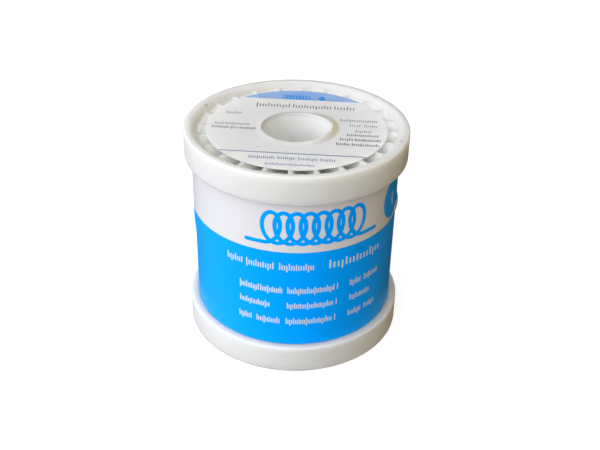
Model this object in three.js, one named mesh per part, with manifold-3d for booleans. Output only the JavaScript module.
// A half-kilogram reel of solder wire, standing on its lower flange.
// Millimetres, +Z up. The origin is the centre of the ring that the reel stands on, so the bore lies along Z.
//
// Two end mouldings press together inside the bore and hold a core sleeve between them. The wire is wound on
// the sleeve, a strip of tape holds its free end, and a printed label is wrapped round it. A round paper label
// is stuck over the ribs of the upper end.

import * as THREE from "three";
import { mergeVertices } from "three/addons/utils/BufferGeometryUtils.js";
import Module from "manifold-3d";

const wasm = await Module();
wasm.setup();

// ---------------------------------------------------------------- driving dimensions

const REEL_HEIGHT = 60;
const FLANGE_RADIUS = 30;
const RIM_HEIGHT = 8;            // the flange's visible outer side
const BORE_RADIUS = 9;
const RIB_COUNT = 24;
const RIB_THICKNESS = 1.2;
const FIRST_RIB_DEG = 87;        // azimuth of one rib, from +X
const WRAP_RADIUS = 28.1;        // outside of the wrap label
const TOP_LABEL_RADIUS = 24.1;

// ---------------------------------------------------------------- sizes that follow

const GAP = 0.3;                 // between pieces that touch on the real reel
const SEGMENTS = 72;             // facets of a full circle, three to each rib pitch
const STRIP_STEP_DEG = 4;        // facets of the tape and of the wrap label

// The end moulding, with depths measured inwards from the plane of the rim's crest.
const CREST_INNER_RADIUS = 28.3;
const RIM_CORNER = 0.5;
const RIM_WALL_RADIUS = 26.4;    // the rim's inner wall
const RIM_SHOULDER_RADIUS = 27.4;
const RIM_SHOULDER_DEPTH = 0.6;
const RIB_DEPTH = 1.35;          // tops of the ribs
const WEB_THICKNESS = 3.2;
const HUB_WALL_RADIUS = 12.2;
const HUB_SHOULDER_RADIUS = 11.7; // foot of the slope up to the lip
const LIP_RADIUS = 9.7;          // the low lip round the bore's mouth
const LIP_DEPTH = 1.15;
const BORE_CORNER = 0.5;

// The tubes inside.
const SPIGOT_RADIUS = 11.2;
const SPIGOT_END_DEPTH = REEL_HEIGHT / 2 - 3;
const PLUG_RADIUS = 9.95;
const PLUG_LENGTH = 6;
const SLEEVE_OUTER_RADIUS = 13;
const SLEEVE_INNER_RADIUS = SPIGOT_RADIUS + GAP;
const WINDING_INNER_RADIUS = SLEEVE_OUTER_RADIUS + GAP;
const WINDING_OUTER_RADIUS = 27.3;
const WINDING_LOW = RIM_HEIGHT + GAP;
const WINDING_HIGH = REEL_HEIGHT - RIM_HEIGHT - GAP;

// Tape, wrap and label.
const TAPE_RADIUS = 27.4;
const TAPE_THICKNESS = 0.15;
const TAPE_HEIGHT = 12;
const TAPE_START_DEG = 150;
const TAPE_END_DEG = 185;
const WRAP_THICKNESS = 0.2;
const WRAP_START_DEG = -14;      // the strip's free edge, which lies over its other end
const WRAP_OVERLAP_DEG = 12;
const WRAP_FALL_DEG = 8;         // past the overlap, the angle in which the strip comes down to the wire
const WRAP_LIFT = 0.2;           // how far the free edge stands off the layer under it
const TOP_LABEL_THICKNESS = 0.2;
const TOP_LABEL_SEAT = 0.1;      // glue between the label and the rib tops
const TOP_LABEL_INNER_RADIUS = 9.8;

// ---------------------------------------------------------------- materials

const plastic = (name, color) => new THREE.MeshStandardMaterial({ name, color, roughness: 0.42, metalness: 0 });
const MATERIALS = {
  upper_flange: plastic("end_moulding", 0xe9e9e4),
  lower_flange: plastic("end_moulding", 0xe9e9e4),
  core_sleeve: plastic("core_plastic", 0xdcdcd6),
  solder_winding: new THREE.MeshStandardMaterial({ name: "solder", color: 0xb4b6b8, roughness: 0.35, metalness: 1 }),
  end_tape: new THREE.MeshStandardMaterial({ name: "tape", color: 0xd9c89a, roughness: 0.3, metalness: 0 }),
  wrap_label: new THREE.MeshStandardMaterial({ name: "wrap_print", color: 0x0a94f0, roughness: 0.35, metalness: 0 }),
  top_label: new THREE.MeshStandardMaterial({ name: "label_paper", color: 0xeceae6, roughness: 0.6, metalness: 0 }),
};

// ---------------------------------------------------------------- small helpers

const radians = (degrees) => (degrees * Math.PI) / 180;
const polar = (radius, angle) => new THREE.Vector2(radius * Math.cos(angle), radius * Math.sin(angle));

// A turned ring round Z. The outline is a closed list of [radius, z], run anticlockwise with the radius to the right.
function turned(outline) {
  const points = [...outline, outline[0]].map(([radius, z]) => new THREE.Vector2(radius, z));
  const ring = new THREE.LatheGeometry(points, SEGMENTS);
  ring.rotateX(Math.PI / 2);
  return weld(ring);
}

// An outline in plan, raised from z = low to z = high.
function raised(shape, low, high) {
  const block = new THREE.ExtrudeGeometry(shape, { depth: high - low, bevelEnabled: false, curveSegments: 12 });
  block.translate(0, 0, low);
  return weld(block);
}

function weld(geometry) {
  geometry.deleteAttribute("normal");
  geometry.deleteAttribute("uv");
  return mergeVertices(geometry, 1e-4);
}

const toSolid = (geometry) => new wasm.Manifold(new wasm.Mesh({
  numProp: 3,
  vertProperties: new Float32Array(geometry.attributes.position.array),
  triVerts: new Uint32Array(geometry.index.array),
}));

function toGeometry(solid) {
  const mesh = solid.getMesh();
  const geometry = new THREE.BufferGeometry();
  geometry.setAttribute("position", new THREE.BufferAttribute(mesh.vertProperties, 3));
  geometry.setIndex(new THREE.BufferAttribute(mesh.triVerts, 1));
  return geometry;
}

// ---------------------------------------------------------------- the end moulding

// The pocket between two neighbouring ribs, seen in plan. The ribs keep one thickness from the hub to the rim.
function pocketShape(midAngle) {
  const halfPitch = Math.PI / RIB_COUNT;
  const angleAt = (radius) => halfPitch - Math.asin(RIB_THICKNESS / 2 / radius);
  const outline = [];
  for (const [radius, from, to] of [[HUB_WALL_RADIUS, 1, -1], [RIM_WALL_RADIUS, -1, 1]]) {
    const steps = radius === HUB_WALL_RADIUS ? 2 : 4;
    for (let step = 0; step <= steps; step += 1) {
      const side = from + ((to - from) * step) / steps;
      outline.push(polar(radius, midAngle + side * angleAt(radius)));
    }
  }
  return new THREE.Shape(outline);
}

// One end of the reel with its outer face up, crest at z = 0 and the tube hanging below.
// The tube's end is a list of [radius, depth] from its outside to its inside: a plug or a socket.
function endMoulding(tubeEnd) {
  const body = turned([
    [BORE_RADIUS, -LIP_DEPTH - BORE_CORNER],
    ...tubeEnd.map(([radius, depth]) => [radius, -depth]).reverse(),
    [SPIGOT_RADIUS, -RIM_HEIGHT],
    [FLANGE_RADIUS - RIM_CORNER / 2, -RIM_HEIGHT],
    [FLANGE_RADIUS, -RIM_HEIGHT + RIM_CORNER / 2],
    [FLANGE_RADIUS, -RIM_CORNER],
    [FLANGE_RADIUS - RIM_CORNER, 0],
    [CREST_INNER_RADIUS, 0],
    [RIM_SHOULDER_RADIUS, -RIM_SHOULDER_DEPTH],
    [RIM_WALL_RADIUS, -RIB_DEPTH],
    [HUB_SHOULDER_RADIUS, -RIB_DEPTH],
    [LIP_RADIUS, -LIP_DEPTH],
    [BORE_RADIUS + BORE_CORNER, -LIP_DEPTH],
  ]);
  let solid = toSolid(body);
  const floor = -RIM_HEIGHT + WEB_THICKNESS;
  for (let rib = 0; rib < RIB_COUNT; rib += 1) {
    const midAngle = radians(FIRST_RIB_DEG) + ((rib + 0.5) * 2 * Math.PI) / RIB_COUNT;
    solid = solid.subtract(toSolid(raised(pocketShape(midAngle), floor, 1)));
  }
  return toGeometry(solid);
}

// The upper tube ends in a plug, and the lower one in the socket that takes it.
function upperFlange() {
  const shoulder = SPIGOT_END_DEPTH;
  const geometry = endMoulding([
    [SPIGOT_RADIUS, shoulder],
    [PLUG_RADIUS, shoulder],
    [PLUG_RADIUS, shoulder + PLUG_LENGTH],
    [BORE_RADIUS, shoulder + PLUG_LENGTH],
  ]);
  geometry.translate(0, 0, REEL_HEIGHT);
  return geometry;
}

function lowerFlange() {
  const mouth = REEL_HEIGHT - SPIGOT_END_DEPTH - GAP;
  const seat = REEL_HEIGHT - SPIGOT_END_DEPTH - PLUG_LENGTH - GAP;
  const geometry = endMoulding([
    [SPIGOT_RADIUS, mouth],
    [PLUG_RADIUS + GAP, mouth],
    [PLUG_RADIUS + GAP, seat],
    [BORE_RADIUS, seat],
  ]);
  geometry.rotateX(Math.PI);
  return geometry;
}

// ---------------------------------------------------------------- between the ends

const tube = (inner, outer, low, high) => turned([[inner, high], [inner, low], [outer, low], [outer, high]]);

const coreSleeve = () => tube(SLEEVE_INNER_RADIUS, SLEEVE_OUTER_RADIUS, WINDING_LOW, WINDING_HIGH);

const solderWinding = () => tube(WINDING_INNER_RADIUS, WINDING_OUTER_RADIUS, WINDING_LOW, WINDING_HIGH);

// A strip that follows the radius given for each angle, in plan, with one thickness.
function stripShape(startDeg, endDeg, thickness, radiusAt) {
  const steps = Math.ceil((endDeg - startDeg) / STRIP_STEP_DEG);
  const inside = [];
  const outside = [];
  for (let step = 0; step <= steps; step += 1) {
    const degrees = startDeg + ((endDeg - startDeg) * step) / steps;
    const inner = radiusAt(degrees);
    inside.push(polar(inner, radians(degrees)));
    outside.unshift(polar(inner + thickness, radians(degrees)));
  }
  return new THREE.Shape([...inside, ...outside]);
}

function endTape() {
  const middle = REEL_HEIGHT / 2;
  const shape = stripShape(TAPE_START_DEG, TAPE_END_DEG, TAPE_THICKNESS, () => TAPE_RADIUS);
  return raised(shape, middle - TAPE_HEIGHT / 2, middle + TAPE_HEIGHT / 2);
}

// The wrap label goes once round, and its free edge lies over its other end.
function wrapLabel() {
  const inner = WRAP_RADIUS - WRAP_THICKNESS;
  const fallStart = WRAP_START_DEG + WRAP_OVERLAP_DEG + 2;
  const radiusAt = (degrees) => {
    const fall = THREE.MathUtils.smoothstep(degrees, fallStart, fallStart + WRAP_FALL_DEG);
    return inner + (1 - fall) * (WRAP_THICKNESS + WRAP_LIFT);
  };
  const endDeg = WRAP_START_DEG + 360 + WRAP_OVERLAP_DEG;
  const shape = stripShape(WRAP_START_DEG, endDeg, WRAP_THICKNESS, radiusAt);
  return raised(shape, WINDING_LOW, WINDING_HIGH);
}

// The paper label lies on the rib tops and climbs the lip round the bore.
function topLabel() {
  const seat = REEL_HEIGHT - RIB_DEPTH + TOP_LABEL_SEAT;
  const climb = RIB_DEPTH - LIP_DEPTH;
  return turned([
    [TOP_LABEL_INNER_RADIUS, seat + climb],
    [HUB_SHOULDER_RADIUS, seat],
    [TOP_LABEL_RADIUS, seat],
    [TOP_LABEL_RADIUS, seat + TOP_LABEL_THICKNESS],
    [HUB_SHOULDER_RADIUS + TOP_LABEL_THICKNESS / 2, seat + TOP_LABEL_THICKNESS],
    [TOP_LABEL_INNER_RADIUS, seat + climb + TOP_LABEL_THICKNESS],
  ]);
}

// ---------------------------------------------------------------- the reel

const PIECES = {
  upper_flange: upperFlange,
  lower_flange: lowerFlange,
  core_sleeve: coreSleeve,
  solder_winding: solderWinding,
  end_tape: endTape,
  wrap_label: wrapLabel,
  top_label: topLabel,
};

const reel = new THREE.Group();
for (const [name, build] of Object.entries(PIECES)) {
  const geometry = build();
  geometry.computeVertexNormals();
  const piece = new THREE.Mesh(geometry, MATERIALS[name]);
  piece.name = name;
  reel.add(piece);
}

export default reel;
